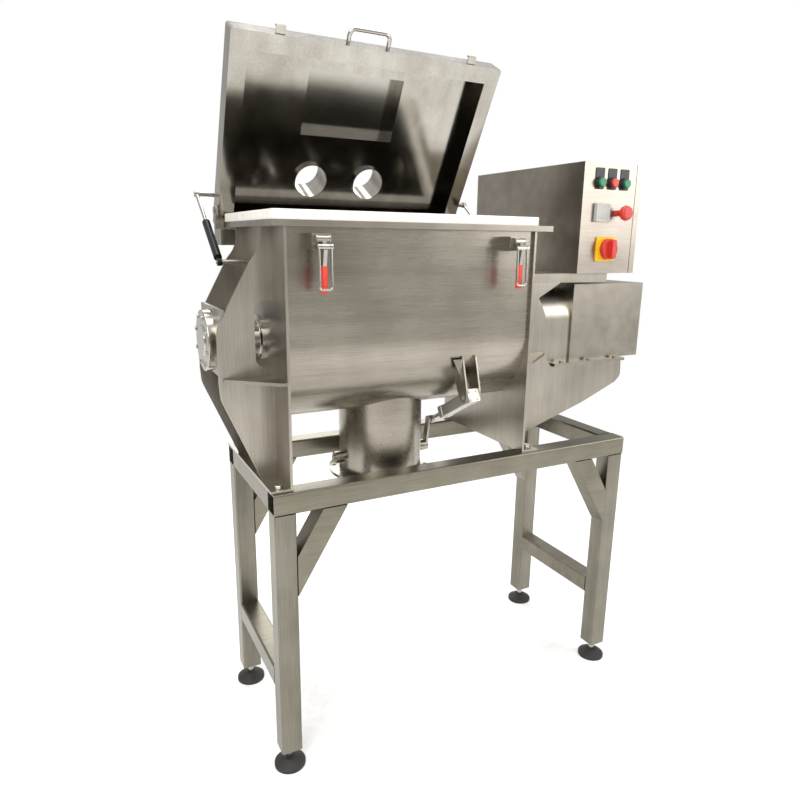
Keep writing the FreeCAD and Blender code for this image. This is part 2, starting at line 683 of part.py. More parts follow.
def hatch_cover():
    """Pan cover over the hatch collar, with knuckles on the pins and a bow handle."""
    clear = 1.3            # lets the rear skirt swing past the collar
    sheet = LID_SHEET
    x0 = HATCH_MIDDLE - HATCH_LENGTH / 2 - clear
    x1 = HATCH_MIDDLE + HATCH_LENGTH / 2 + clear
    y0 = HATCH_FRONT_Y - clear
    y1 = HATCH_REAR_Y + clear
    top = HATCH_TOP + LID_GAP
    outer = plate(rounded(x0 - sheet, x1 + sheet, y0 - sheet, y1 + sheet, 4), "z", top - 14, top + sheet)
    pan = outer.cut(block(x0, x1, y0, y1, top - 15, top))
    slots = []
    pieces = []
    for side in (-1, 1):
        x = HATCH_MIDDLE + side * 80
        slots.append(block(x - 14.5, x + 14.5, y1 - 1, y1 + sheet + 1, top - 15, top - 1))
        for knuckle in (-1, 1):
            start = x + knuckle * 14.5
            end = x + knuckle * 32
            barrel = pipe((start, HATCH_HINGE_Y, HATCH_HINGE_Z), (end, HATCH_HINGE_Y, HATCH_HINGE_Z),
                          5, 2.5 + RUNNING_CLEARANCE)
            leaf = block(min(start, end), max(start, end), y1 + sheet - 1, HATCH_HINGE_Y, HATCH_HINGE_Z + 3,
                         HATCH_HINGE_Z + 5)
            pieces += [barrel, leaf]
    for slot in slots:
        pan = pan.cut(slot)
    y = HATCH_FRONT_Y + 30
    bow = bent_rod([(HATCH_MIDDLE - 45, y, top + sheet - 0.5), (HATCH_MIDDLE - 45, y, top + 28),
                    (HATCH_MIDDLE + 45, y, top + 28), (HATCH_MIDDLE + 45, y, top + sheet - 0.5)], 4, 10)
    return opened(fused([pan, bow] + pieces))


def hinge_brackets():
    """Ears welded behind the end plates that carry the lid's side pins."""
    ears = []
    for x, face, side in ((LID_LEFT, LEFT_FACE, -1), (LID_RIGHT, RIGHT_FACE, 1)):
        near = x + side * 1.5
        far = near + side * 6
        rear = LID_PIVOT_Y + 12
        corners = [(150, TROUGH_TOP - 42), (rear, TROUGH_TOP - 42, 6), (rear, LID_PIVOT_Z + 12, 11.9),
                   (LID_PIVOT_Y - 12, LID_PIVOT_Z + 12, 11.9), (LID_PIVOT_Y - 12, LID_PIVOT_Z - 12),
                   (RIM_HALF_WIDTH + 1.5, RIM_TOP + 2), (RIM_HALF_WIDTH + 1.5, TROUGH_TOP - 4),
                   (150, TROUGH_TOP - 4)]
        ear = plate(corners, "x", near, far)
        root = block(min(face, near), max(face, near), 165, END_HALF, TROUGH_TOP - 42, TROUGH_TOP - 4)
        bore = rod((near - side, LID_PIVOT_Y, LID_PIVOT_Z), (far + side, LID_PIVOT_Y, LID_PIVOT_Z),
                   LID_PIN_RADIUS + RUNNING_CLEARANCE)
        ears.append(fused([ear, root]).cut(bore))
    return group(ears)


# ---------------------------------------------------------------- gas springs
SPRING_RUN_Y = SPRING_HEAD_Y - SPRING_FOOT_Y
SPRING_RUN_Z = SPRING_HEAD_Z - SPRING_FOOT_Z
SPRING_LENGTH = math.hypot(SPRING_RUN_Y, SPRING_RUN_Z)
SPRING_TILT = math.degrees(math.atan2(SPRING_RUN_Y, SPRING_RUN_Z))


def spring_stud(face, side, spring_x):
    """Shouldered stud on the end plate: the spring's lower eye turns on its end."""
    shoulder = spring_x - side * (SPRING_EYE / 2 + SOCKET_GAP)
    tip = spring_x + side * (SPRING_EYE / 2 + 2)
    stud = rod((face, SPRING_FOOT_Y, SPRING_FOOT_Z), (shoulder, SPRING_FOOT_Y, SPRING_FOOT_Z), STUD_RADIUS)
    pin = rod((face, SPRING_FOOT_Y, SPRING_FOOT_Z), (tip, SPRING_FOOT_Y, SPRING_FOOT_Z), SPRING_PIN_RADIUS)
    return stud.fuse(pin)


def along_spring(shape, spring_x):
    """Lay a shape modelled upright about the Z axis along the spring's line."""
    copy = shape.copy()
    copy.rotate(Vec(0, 0, 0), X_AXIS, -SPRING_TILT)
    copy.translate(Vec(spring_x, SPRING_FOOT_Y, SPRING_FOOT_Z))
    return copy


def gas_spring(spring_x):
    half = SPRING_EYE / 2
    start = SPRING_EYE_RADIUS + 8
    end = start + SPRING_TUBE_LENGTH
    eye = rod((-half, 0, 0), (half, 0, 0), SPRING_EYE_RADIUS)
    neck = rod((0, 0, 3), (0, 0, start + 1), SPRING_ROD_RADIUS)
    barrel = rod((0, 0, start), (0, 0, end), SPRING_TUBE_RADIUS)
    tube = fused([eye, neck, barrel])
    tube = tube.cut(rod((-half - 1, 0, 0), (half + 1, 0, 0), SPRING_PIN_RADIUS + RUNNING_CLEARANCE))
    tube = tube.cut(rod((0, 0, start + 4), (0, 0, end - 6), SPRING_TUBE_RADIUS - 1.5))
    tube = tube.cut(rod((0, 0, end - 7), (0, 0, end + 1), SPRING_ROD_RADIUS + RUNNING_CLEARANCE))
    head = rod((-half, 0, SPRING_LENGTH), (half, 0, SPRING_LENGTH), SPRING_EYE_RADIUS)
    slim = rod((0, 0, end - 30), (0, 0, SPRING_LENGTH - 4), SPRING_ROD_RADIUS)
    piston = rod((0, 0, end - 36), (0, 0, end - 28), SPRING_TUBE_RADIUS - 1.5 - RUNNING_CLEARANCE)
    return along_spring(tube, spring_x), along_spring(fused([head, slim, piston]), spring_x)


# ---------------------------------------------------------------- latches
EAR_INNER = 12.4
EAR_OUTER = 15.4


def latch_mount(x):
    """Welded stand-off block with two ears and the lever's pivot pin."""
    stand_off = block(x - 20, x + 20, LATCH_PIVOT_Y + 9, -TROUGH_RADIUS, LATCH_PIVOT_Z - 21, LATCH_PIVOT_Z + 11)
    pieces = [stand_off]
    for side in (-1, 1):
        inner = x + side * EAR_INNER
        outer = x + side * EAR_OUTER
        corners = [(LATCH_PIVOT_Y + 10, LATCH_PIVOT_Z - 8), (LATCH_PIVOT_Y + 10, LATCH_PIVOT_Z + 8),
                   (LATCH_PIVOT_Y - 7, LATCH_PIVOT_Z + 7, 6.9), (LATCH_PIVOT_Y - 7, LATCH_PIVOT_Z - 7, 6.9)]
        pieces.append(plate(corners, "x", inner, outer))
    pieces.append(rod((x - EAR_OUTER - 1, LATCH_PIVOT_Y, LATCH_PIVOT_Z),
                      (x + EAR_OUTER + 1, LATCH_PIVOT_Y, LATCH_PIVOT_Z), 3))
    return fused(pieces)


def latch_lever(x):
    """Lever with its pivot barrel and the cross pin that carries the wire loop."""
    barrel = rod((x - 12, LATCH_PIVOT_Y, LATCH_PIVOT_Z), (x + 12, LATCH_PIVOT_Y, LATCH_PIVOT_Z), 6.5)
    corners = [(LATCH_PIVOT_Y - 4, LATCH_PIVOT_Z + 3), (LATCH_PIVOT_Y + 4, LATCH_PIVOT_Z - 2),
               (LATCH_PIVOT_Y + 1, LATCH_PIVOT_Z - 53), (LATCH_PIVOT_Y - 9, LATCH_PIVOT_Z - 53),
               (LOOP_PIVOT_Y - 3, LOOP_PIVOT_Z - 6)]
    arm = plate(corners, "x", x - 4, x + 4)
    hub = rod((x - 9.5, LOOP_PIVOT_Y, LOOP_PIVOT_Z), (x + 9.5, LOOP_PIVOT_Y, LOOP_PIVOT_Z), 5)
    pin = rod((x - 17, LOOP_PIVOT_Y, LOOP_PIVOT_Z), (x + 17, LOOP_PIVOT_Y, LOOP_PIVOT_Z), 3)
    bore = rod((x - 13, LATCH_PIVOT_Y, LATCH_PIVOT_Z), (x + 13, LATCH_PIVOT_Y, LATCH_PIVOT_Z),
               3 + RUNNING_CLEARANCE)
    return fused([barrel, arm, hub, pin]).cut(bore)


def latch_grip(x):
    top = LATCH_PIVOT_Z - 53
    profile = rounded(x - 7, x + 7, LATCH_PIVOT_Y - 10, LATCH_PIVOT_Y + 2, 4)
    return plate(profile, "z", top - 54, top)


def latch_loop(x):
    """Wire loop that hangs in front of the grip and swings up over the lid's catch."""
    pieces = []
    low = LOOP_PIVOT_Z - LOOP_LENGTH
    for side in (-1, 1):
        eye = rod((x + side * 10, LOOP_PIVOT_Y, LOOP_PIVOT_Z), (x + side * 16, LOOP_PIVOT_Y, LOOP_PIVOT_Z), 5.5)
        pieces.append(eye)
    wire = bent_rod([(x - 13, LOOP_PIVOT_Y, LOOP_PIVOT_Z - 1), (x - 13, LOOP_PIVOT_Y - 4, low),
                     (x + 13, LOOP_PIVOT_Y - 4, low), (x + 13, LOOP_PIVOT_Y, LOOP_PIVOT_Z - 1)], LOOP_WIRE, 6)
    bore = rod((x - 18, LOOP_PIVOT_Y, LOOP_PIVOT_Z), (x + 18, LOOP_PIVOT_Y, LOOP_PIVOT_Z),
               3 + RUNNING_CLEARANCE)
    return fused(pieces + [wire]).cut(bore)


# ---------------------------------------------------------------- discharge spout and valve
CRANK_GAP = 6.0
CRANK_NEAR = ACTUATOR_X - 5.5 - 2.5 - CRANK_GAP
CRANK_PIN_Y = -CRANK_LENGTH * math.sin(math.radians(CRANK_LEAN))
CRANK_PIN_Z = VALVE_HEIGHT + CRANK_LENGTH * math.cos(math.radians(CRANK_LEAN))
SPOUT_BORE = SPOUT_RADIUS - SPOUT_WALL


def discharge_spout():
    """Round spout cut to the trough's curve, with valve shaft bosses and the outlet flange."""
    x = SPOUT_MIDDLE
    tube = rod((x, 0, SPOUT_BOTTOM), (x, 0, SHAFT_HEIGHT - 60), SPOUT_RADIUS)
    flange = rod((x, 0, SPOUT_BOTTOM), (x, 0, SPOUT_BOTTOM + OUTLET_FLANGE), OUTLET_FLANGE_RADIUS)
    boss_reach = SPOUT_RADIUS + 22
    boss = rod((x - boss_reach, 0, VALVE_HEIGHT), (x + boss_reach, 0, VALVE_HEIGHT), 15)
    spout = fused([tube, flange, boss])
    spout = spout.cut(rod((x, 0, SPOUT_BOTTOM - 1), (x, 0, SHAFT_HEIGHT), SPOUT_BORE))
    spout = spout.cut(rod((LEFT_END, 0, SHAFT_HEIGHT), (RIGHT_END, 0, SHAFT_HEIGHT), TROUGH_RADIUS))
    spout = spout.cut(rod((x - boss_reach - 1, 0, VALVE_HEIGHT), (x + boss_reach + 1, 0, VALVE_HEIGHT),
                          VALVE_SHAFT_RADIUS + RUNNING_CLEARANCE))
    for index in range(OUTLET_BOLTS):
        angle = 2 * math.pi * (index + 0.5) / OUTLET_BOLTS
        hole_x = x + OUTLET_BOLT_CIRCLE / 2 * math.cos(angle)
        hole_y = OUTLET_BOLT_CIRCLE / 2 * math.sin(angle)
        spout = spout.cut(rod((hole_x, hole_y, SPOUT_BOTTOM - 1),
                              (hole_x, hole_y, SPOUT_BOTTOM + OUTLET_FLANGE + 1), OUTLET_HOLE_RADIUS))
    return spout


def valve_disc():
    """Butterfly disc with a hub that grips the shaft."""
    x = SPOUT_MIDDLE
    radius = SPOUT_BORE - VALVE_GAP
    half = VALVE_DISC / 2
    disc = rod((x, 0, VALVE_HEIGHT - half), (x, 0, VALVE_HEIGHT + half), radius)
    hub = rod((x - radius + 14, 0, VALVE_HEIGHT), (x + radius - 14, 0, VALVE_HEIGHT), VALVE_SHAFT_RADIUS + 5)
    shaft_way = rod((x - radius - 1, 0, VALVE_HEIGHT), (x + radius + 1, 0, VALVE_HEIGHT), VALVE_SHAFT_RADIUS)
    return fused([disc, hub]).cut(shaft_way)


def valve_crank():
    """Valve shaft with its crank arm and crank pin."""
    shaft = rod((SPOUT_MIDDLE - SPOUT_RADIUS - 26, 0, VALVE_HEIGHT), (CRANK_NEAR + CRANK_GAP, 0, VALVE_HEIGHT),
                VALVE_SHAFT_RADIUS)
    hub = rod((CRANK_NEAR - 4.5, 0, VALVE_HEIGHT), (CRANK_NEAR + CRANK_GAP, 0, VALVE_HEIGHT), 14)
    eye = rod((CRANK_NEAR, CRANK_PIN_Y, CRANK_PIN_Z), (CRANK_NEAR + CRANK_GAP, CRANK_PIN_Y, CRANK_PIN_Z), 10)
    arm = plate([(-10, VALVE_HEIGHT), (10, VALVE_HEIGHT), (8, CRANK_PIN_Z),
                 (-8, CRANK_PIN_Z)], "x", CRANK_NEAR, CRANK_NEAR + CRANK_GAP)
    arm.rotate(Vec(0, 0, VALVE_HEIGHT), X_AXIS, CRANK_LEAN)
    pin = rod((CRANK_NEAR, CRANK_PIN_Y, CRANK_PIN_Z),
              (ACTUATOR_X - 5.5 - SOCKET_GAP, CRANK_PIN_Y, CRANK_PIN_Z), 5)
    return fused([shaft, hub, eye, arm, pin])


ACTUATOR_RUN_Y = CRANK_PIN_Y - ACTUATOR_PIVOT_Y
ACTUATOR_RUN_Z = CRANK_PIN_Z - ACTUATOR_PIVOT_Z
ACTUATOR_LENGTH = math.hypot(ACTUATOR_RUN_Y, ACTUATOR_RUN_Z)
ACTUATOR_ANGLE = math.degrees(math.atan2(ACTUATOR_RUN_Z, ACTUATOR_RUN_Y))
CYLINDER_HALF = 16.0
TRUNNION_RADIUS = 6.0


def along_actuator(shape):
    """Lay a shape modelled along +Y from the trunnion onto the actuator's line."""
    copy = shape.copy()
    copy.rotate(Vec(0, 0, 0), X_AXIS, ACTUATOR_ANGLE)
    copy.translate(Vec(ACTUATOR_X, ACTUATOR_PIVOT_Y, ACTUATOR_PIVOT_Z))
    return copy


def actuator():
    """Square-bodied air cylinder with trunnions on its rear cap, and its rod with an eye."""
    half = CYLINDER_HALF
    rear = plate(rounded(-half, half, -half, half, 4), "y", -14, 12)
    barrel = plate(rounded(1 - half, half - 1, 1 - half, half - 1, 5), "y", 12, 124)
    front = plate(rounded(-half, half, -half, half, 4), "y", 124, 140)
    trunnions = rod((-half - 3.6, 0, 0), (half + 3.6, 0, 0), TRUNNION_RADIUS)
    screws = [rod((sx * 10, -16, sz * 10), (sx * 10, -13, sz * 10), 3.2) for sx in (-1, 1) for sz in (-1, 1)]
    body = fused([rear, barrel, front, trunnions] + screws)
    body = body.cut(rod((0, 14, 0), (0, 122, 0), 12))
    body = body.cut(rod((0, 121, 0), (0, 141, 0), 6 + RUNNING_CLEARANCE))
    piston = rod((0, 16, 0), (0, 26, 0), 12 - RUNNING_CLEARANCE)
    stem = rod((0, 25, 0), (0, ACTUATOR_LENGTH - 8, 0), 6)
    eye = rod((-5.5, ACTUATOR_LENGTH, 0), (5.5, ACTUATOR_LENGTH, 0), 11)
    return along_actuator(body), along_actuator(fused([piston, stem, eye]))


def actuator_bracket():
    """Two tapering cheeks on the trough's front that hold the cylinder's trunnions."""
    cheeks = []
    for side in (-1, 1):
        inner = ACTUATOR_X + side * (CYLINDER_HALF + 0.4)
        outer = inner + side * 4
        corners = [(ACTUATOR_PIVOT_Y - 12, ACTUATOR_PIVOT_Z - 12, 11.9),
                   (ACTUATOR_PIVOT_Y + 14, ACTUATOR_PIVOT_Z - 12, 11.9), (-150, 920), (-170, 972),
                   (-186, 972), (ACTUATOR_PIVOT_Y - 12, ACTUATOR_PIVOT_Z + 14, 20)]
        cheek = plate(corners, "x", inner, outer)
        web_edge = outer + side * 26
        web = plate([(inner, 968), (web_edge, 968), (inner, 906)], "y", -188, -184)
        cheek = cheek.fuse(web) if side < 0 else cheek
        cheek = cheek.cut(rod((inner - side, ACTUATOR_PIVOT_Y, ACTUATOR_PIVOT_Z),
                              (outer + side, ACTUATOR_PIVOT_Y, ACTUATOR_PIVOT_Z),
                              TRUNNION_RADIUS + RUNNING_CLEARANCE))
        cheek = cheek.cut(rod((LEFT_END, 0, SHAFT_HEIGHT), (RIGHT_END, 0, SHAFT_HEIGHT), TROUGH_RADIUS))
        cheeks.append(cheek.removeSplitter())
    return group(cheeks)


# ---------------------------------------------------------------- drive
def drive_base_plate():
    edge = GUSSET_OFFSET + GUSSET + 3
    base = block(COVER_LEFT - 70, COVER_RIGHT - 70, -edge, edge, DRIVE_SEAT, COVER_BOTTOM)
    heads = []
    for x in (COVER_LEFT - 40, COVER_LEFT + 60, COVER_LEFT + 160):
        for y in (2 - edge + 6, edge - 8):
            heads.append(rod((x, y, COVER_BOTTOM - 1), (x, y, COVER_BOTTOM + 6), 6))
    return fused([base] + heads)


def gear_reducer():
    """Helical-bevel gear unit on its feet, hollow-bored for the agitator shaft."""
    x0 = REDUCER_MIDDLE - 55
    x1 = REDUCER_MIDDLE + 55
    drum = turned_piece([(x0, 0), (x0, 70), (x0 + 10, 76), (x1 - 10, 76), (x1, 70), (x1, 0)])
    feet = plate(rounded(REDUCER_MIDDLE - 60, REDUCER_MIDDLE + 60, -82, 82, 10), "z", COVER_BOTTOM,
                 COVER_BOTTOM + 16)
    waist = block(REDUCER_MIDDLE - 45, REDUCER_MIDDLE + 45, -60, 60, COVER_BOTTOM + 14, SHAFT_HEIGHT)
    snout = rod((REDUCER_MIDDLE, 40, SHAFT_HEIGHT), (REDUCER_MIDDLE, 112, SHAFT_HEIGHT), 58)
    case = fused([drum, feet, waist, snout])
    return case.cut(rod((x0 - 1, 0, SHAFT_HEIGHT), (x1 + 6, 0, SHAFT_HEIGHT), SHAFT_RADIUS + RUNNING_CLEARANCE))


def drive_motor():
    """Finned motor behind the gear unit, with its flange and fan cowl."""
    def ring(y, length, radius):
        return rod((REDUCER_MIDDLE, y, SHAFT_HEIGHT), (REDUCER_MIDDLE, y + length, SHAFT_HEIGHT), radius)

    pieces = [ring(112, 12, 78), ring(124, 110, 60), ring(234, 52, 68)]
    pieces += [ring(132 + 12 * index, 4, 66) for index in range(8)]
    return fused(pieces)


def drive_cover():
    """Folded box over the gear unit and motor, open below and at the neck."""
    sheet = COVER_SHEET
    outer = block(COVER_LEFT, COVER_RIGHT, COVER_FRONT, COVER_REAR, COVER_BOTTOM, COVER_TOP)
    inner = block(COVER_LEFT + sheet, COVER_RIGHT - sheet, COVER_FRONT + sheet, COVER_REAR - sheet,
                  COVER_BOTTOM - 1, COVER_TOP - sheet)
    return outer.cut(inner).cut(rod((COVER_LEFT - 1, 0, SHAFT_HEIGHT), (COVER_LEFT + sheet + 1, 0, SHAFT_HEIGHT),
                                    NECK_RADIUS - 14))


def neck_guard():
    """Arched guard over the shaft between the end plate and the cover."""
    def arch(radius, bottom):
        place = on_plane("x", RIGHT_FACE)
        crown = SHAFT_HEIGHT + 16
        edges = [Part.LineSegment(place(-radius, bottom), place(-radius, crown)),
                 Part.Arc(place(-radius, crown), place(0, crown + radius), place(radius, crown)),
                 Part.LineSegment(place(radius, crown), place(radius, bottom)),
                 Part.LineSegment(place(radius, bottom), place(-radius, bottom))]
        return Part.Face(Part.Wire([edge.toShape() for edge in edges])).extrude(X_AXIS * (COVER_LEFT - RIGHT_FACE))

    guard = arch(NECK_RADIUS, DRIVE_SEAT - 2).cut(arch(NECK_RADIUS - COVER_SHEET, DRIVE_SEAT - 3))
    return guard.cut(block(COVER_LEFT - 71, COVER_LEFT + 1, -120, 120, DRIVE_SEAT - 10, COVER_BOTTOM))


# ---------------------------------------------------------------- control box
BUTTON_X = (420.0, 464.0, 508.0)
BUTTON_Z = 1397.0
BUTTON_RADIUS = 11.0
STOP_X = 490.0
STOP_Z = 1320.0
TIMER_X = 434.0
TIMER_Z = 1321.0
SWITCH_X = 457.0
SWITCH_Z = 1226.0
SWITCH_PLATE = 65.0
BUTTON_TRAVEL = 4.0


def control_shelf():
    """Inverted channel tray under the control box."""
    sheet = 3
    outer = block(RIGHT_FACE, SHELF_RIGHT, SHELF_FRONT, SHELF_REAR, SHELF_BOTTOM, SHELF_TOP)
    inner = block(RIGHT_FACE - 1, SHELF_RIGHT - sheet, SHELF_FRONT + sheet, SHELF_REAR - sheet,
                  SHELF_BOTTOM - 1, SHELF_TOP - sheet)
    return outer.cut(inner)


def enclosure_body():
    """Box open to the right, with holes for the controls and a hinge at the rear."""
    right = BOX_RIGHT - DOOR_DEPTH - DOOR_GAP
    sheet = BOX_SHEET
    outer = block(BOX_LEFT, right, BOX_FRONT, BOX_REAR, SHELF_TOP, BOX_TOP)
    inner = block(BOX_LEFT + sheet, right + 1, BOX_FRONT + sheet, BOX_REAR - sheet,
                  SHELF_TOP + sheet, BOX_TOP - sheet)
    body = outer.cut(inner)
    for x, z, radius in [(x, BUTTON_Z, 8 + SEAT_GAP) for x in BUTTON_X] + [(STOP_X, STOP_Z, 8 + SEAT_GAP), (SWITCH_X, SWITCH_Z, 9)]:
        body = body.cut(rod((x, BOX_FRONT - 1, z), (x, BOX_FRONT + sheet + 1, z), radius))
    pieces = [body]
    for z in (SHELF_TOP + 50, BOX_TOP - 70):
        pieces.append(rod((DOOR_HINGE_X, DOOR_HINGE_Y, z), (DOOR_HINGE_X, DOOR_HINGE_Y, z + 20), 5))
        pieces.append(block(right - 12, DOOR_HINGE_X, BOX_REAR, DOOR_HINGE_Y + 2, z, z + 20))
        pieces.append(rod((DOOR_HINGE_X, DOOR_HINGE_Y, z), (DOOR_HINGE_X, DOOR_HINGE_Y, z + 42), 2.5))
    return fused(pieces)


DOOR_HINGE_X = BOX_RIGHT - DOOR_DEPTH / 2
DOOR_HINGE_Y = BOX_REAR + 6


def enclosure_door():
    """Shallow pan door with knuckles that sit on the body's hinge pins."""
    left = BOX_RIGHT - DOOR_DEPTH
    sheet = BOX_SHEET
    outer = block(left, BOX_RIGHT, BOX_FRONT, BOX_REAR - 0.5, SHELF_TOP, BOX_TOP)
    inner = block(left - 1, BOX_RIGHT - sheet, BOX_FRONT + sheet, BOX_REAR - 0.5 - sheet,
                  SHELF_TOP + sheet, BOX_TOP - sheet)
    pieces = [outer.cut(inner)]
    bores = []
    for z in (SHELF_TOP + 50, BOX_TOP - 70):
        pieces.append(rod((DOOR_HINGE_X, DOOR_HINGE_Y, z + 20.3), (DOOR_HINGE_X, DOOR_HINGE_Y, z + 40), 5))
        pieces.append(block(DOOR_HINGE_X + 3, BOX_RIGHT, BOX_REAR - 2, DOOR_HINGE_Y + 2, z + 20.3, z + 40))
        bores.append(rod((DOOR_HINGE_X, DOOR_HINGE_Y, z + 20), (DOOR_HINGE_X, DOOR_HINGE_Y, z + 43),
                         2.5 + RUNNING_CLEARANCE))
    for z in (SHELF_TOP + 70, BOX_TOP - 70):
        pieces.append(rod((BOX_RIGHT - sheet, BOX_FRONT + 30, z), (BOX_RIGHT + 5, BOX_FRONT + 30, z), 10))
    door = fused(pieces)
    for bore in bores:
        door = door.cut(bore)
    return door


def inverter():
    """Speed drive on the box's inner left wall, with its heat sink fins."""
    x0 = BOX_LEFT + BOX_SHEET
    case = plate(rounded(60, 190, SHELF_TOP + 60, SHELF_TOP + 230, 6), "x", x0 + 30, x0 + 130)
    fins = [block(x0, x0 + 31, 64 + 16 * index, 68 + 16 * index, SHELF_TOP + 64, SHELF_TOP + 226)
            for index in range(8)]
    return fused([case] + fins)


def button_bezels():
    """Legend holders with round collars, one at each push button."""
    bezels = []
    face = BOX_FRONT
    for x in BUTTON_X:
        holder = plate(rounded(x - 15, x + 15, BUTTON_Z - 17, BUTTON_Z + 37, 3), "y", face - 2, face)
        collar = rod((x, face - 9, BUTTON_Z), (x, face, BUTTON_Z), 14.5)
        bore = rod((x, face - 10, BUTTON_Z), (x, face + 1, BUTTON_Z), BUTTON_RADIUS + 0.3)
        bezels.append(fused([holder, collar]).cut(bore))
    return group(bezels)


def push_button(x):
    """Button head with its stem through the panel; it sits proud by its travel and a little."""
    face = BOX_FRONT
    head = rod((x, face - 16, BUTTON_Z), (x, face - 0.3 - BUTTON_TRAVEL, BUTTON_Z), BUTTON_RADIUS)
    edge = [e for e in head.Edges if e.BoundBox.YMax < face - 15.9]
    head = head.makeFillet(2, edge)
    stem = rod((x, face - 6, BUTTON_Z), (x, face + 26, BUTTON_Z), 8)
    return fused([head, stem])


def emergency_stop():
    """Mushroom head on its stem."""
    face = BOX_FRONT
    wire = outline([(0, 44), (17, 44, 6), (20, 34, 4), (18, 28), (8, 26), (8, -26), (0, -26)],
                   lambda u, v: Vec(STOP_X + u, face - v, STOP_Z))
    return Part.Face(wire).revolve(Vec(STOP_X, 0, STOP_Z), Y_AXIS, 360)


def timer():
    face = BOX_FRONT
    half = 24
    bezel = plate(rounded(TIMER_X - half, TIMER_X + half, TIMER_Z - half, TIMER_Z + half, 3), "y",
                  face - 10, face)
    window = block(TIMER_X - 17, TIMER_X + 17, face - 11, face - 9, TIMER_Z - 1, TIMER_Z + 17)
    keys = [rod((TIMER_X + offset, face - 11.5, TIMER_Z - 12), (TIMER_X + offset, face - 9, TIMER_Z - 12), 3.5)
            for offset in (-14, -5, 5, 14)]
    return fused([bezel.cut(window)] + keys)


def switch_plate():
    """Square plate of the main switch with its round collar."""
    face = BOX_FRONT
    half = SWITCH_PLATE / 2
    square = plate(rounded(SWITCH_X - half, SWITCH_X + half, SWITCH_Z - half, SWITCH_Z + half, 4), "y",
                   face - 5, face)
    collar = rod((SWITCH_X, face - 10, SWITCH_Z), (SWITCH_X, face, SWITCH_Z), 29)
    return fused([square, collar]).cut(rod((SWITCH_X, face - 11, SWITCH_Z), (SWITCH_X, face + 1, SWITCH_Z), 8.05))


def switch_knob():
    """Round knob with a raised grip bar, on the switch's spindle."""
    face = BOX_FRONT
    disc = rod((SWITCH_X, face - 24, SWITCH_Z), (SWITCH_X, face - 10.4, SWITCH_Z), 27)
    front_edge = [e for e in disc.Edges if e.BoundBox.YMax < face - 23.9]
    disc = disc.makeFillet(3, front_edge)
    bar = plate(rounded(SWITCH_X - 7, SWITCH_X + 7, SWITCH_Z - 25, SWITCH_Z + 25, 6), "y", face - 38, face - 20)
    spindle = rod((SWITCH_X, face - 12, SWITCH_Z), (SWITCH_X, face + 30, SWITCH_Z), 8)
    return fused([disc, bar, spindle])


# ---------------------------------------------------------------- all the pieces
def machine():
    """Give every piece by its name."""
    arms = agitator_arms()
    foot_stems, foot_pads = foot_parts()
    cylinder, piston_rod = actuator()
    pieces = {
        "stand_legs": stand_legs(),
        "stand_rails": stand_rails(),
        "stand_braces": stand_braces(),
        "foot_stems": foot_stems,
        "foot_pads": foot_pads,
        "trough_shell": trough_shell(),
        "end_plate_left": end_plate(LEFT_END, -1).fuse(spring_stud(LEFT_FACE, -1, SPRING_X_LEFT)),
        "end_plate_right": end_plate(RIGHT_END, 1).fuse(spring_stud(RIGHT_FACE, 1, SPRING_X_RIGHT)),
        "rim_flange": rim_flange(),
        "rim_seal": rim_seal(),
        "left_gussets": left_gussets(),
        "right_gussets": right_gussets(),
        "corner_stiffeners": corner_stiffeners(),
        "hinge_brackets": hinge_brackets(),
        "bearing_plate": bearing_plate(),
        "bearing_housing": bearing_housing(),
        "bearing_cap": bearing_cap(),
        "shaft_bearing": shaft_bearing(),
        "shaft_glands": shaft_glands(),
        "agitator_shaft": agitator_shaft(arms),
        "agitator_arms": group([arm for arm in arms]),
        "outer_ribbons": ribbons(OUTER_RIBBON_RADIUS, OUTER_RIBBON_WIDTH, (0, 180), 1,
                                 -RIBBON_THICKNESS / 2, arms),
        "inner_ribbons": ribbons(INNER_RIBBON_RADIUS, INNER_RIBBON_WIDTH, (0,), -1,
                                 ARM_RADIUS + 1, arms),
        "lid_shell": lid_shell(),
        "lid_handle": lid_handle(),
        "hatch_cover": hatch_cover(),
        "discharge_spout": discharge_spout(),
        "valve_disc": valve_disc(),
        "valve_crank": valve_crank(),
        "actuator_bracket": actuator_bracket(),
        "actuator_cylinder": cylinder,
        "actuator_rod": piston_rod,
        "drive_base_plate": drive_base_plate(),
        "gear_reducer": gear_reducer(),
        "drive_motor": drive_motor(),
        "drive_cover": drive_cover(),
        "neck_guard": neck_guard(),
        "control_shelf": control_shelf(),
        "enclosure_body": enclosure_body(),
        "enclosure_door": enclosure_door(),
        "inverter": inverter(),
        "button_bezels": button_bezels(),
        "emergency_stop_button": emergency_stop(),
        "timer": timer(),
        "switch_plate": switch_plate(),
        "switch_knob": switch_knob(),
        "latch_mounts": group([latch_mount(x) for x in LATCH_POSITIONS]),
    }
    for side, spring_x in (("left", SPRING_X_LEFT), ("right", SPRING_X_RIGHT)):
        tube, slim_rod = gas_spring(spring_x)
        pieces["gas_spring_" + side + "_tube"] = tube
        pieces["gas_spring_" + side + "_rod"] = slim_rod
    for side, x in zip(("left", "right"), LATCH_POSITIONS):
        pieces["latch_" + side + "_lever"] = latch_lever(x)
        pieces["latch_" + side + "_grip"] = latch_grip(x)
        pieces["latch_" + side + "_loop"] = latch_loop(x)
    for name, x in zip(("start_button", "stop_button", "jog_button"), BUTTON_X):
        pieces[name] = push_button(x)
    return pieces


os.makedirs("parts", exist_ok=True)
for node, shape in machine().items():
    shape.translate(Vec(-MACHINE_MIDDLE_X, -MACHINE_MIDDLE_Y, 0))
    shape.exportStep("parts/" + node + ".step")
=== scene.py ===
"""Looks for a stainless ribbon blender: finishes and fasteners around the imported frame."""
import math

import bmesh
import bpy
from mathutils import Matrix, Vector


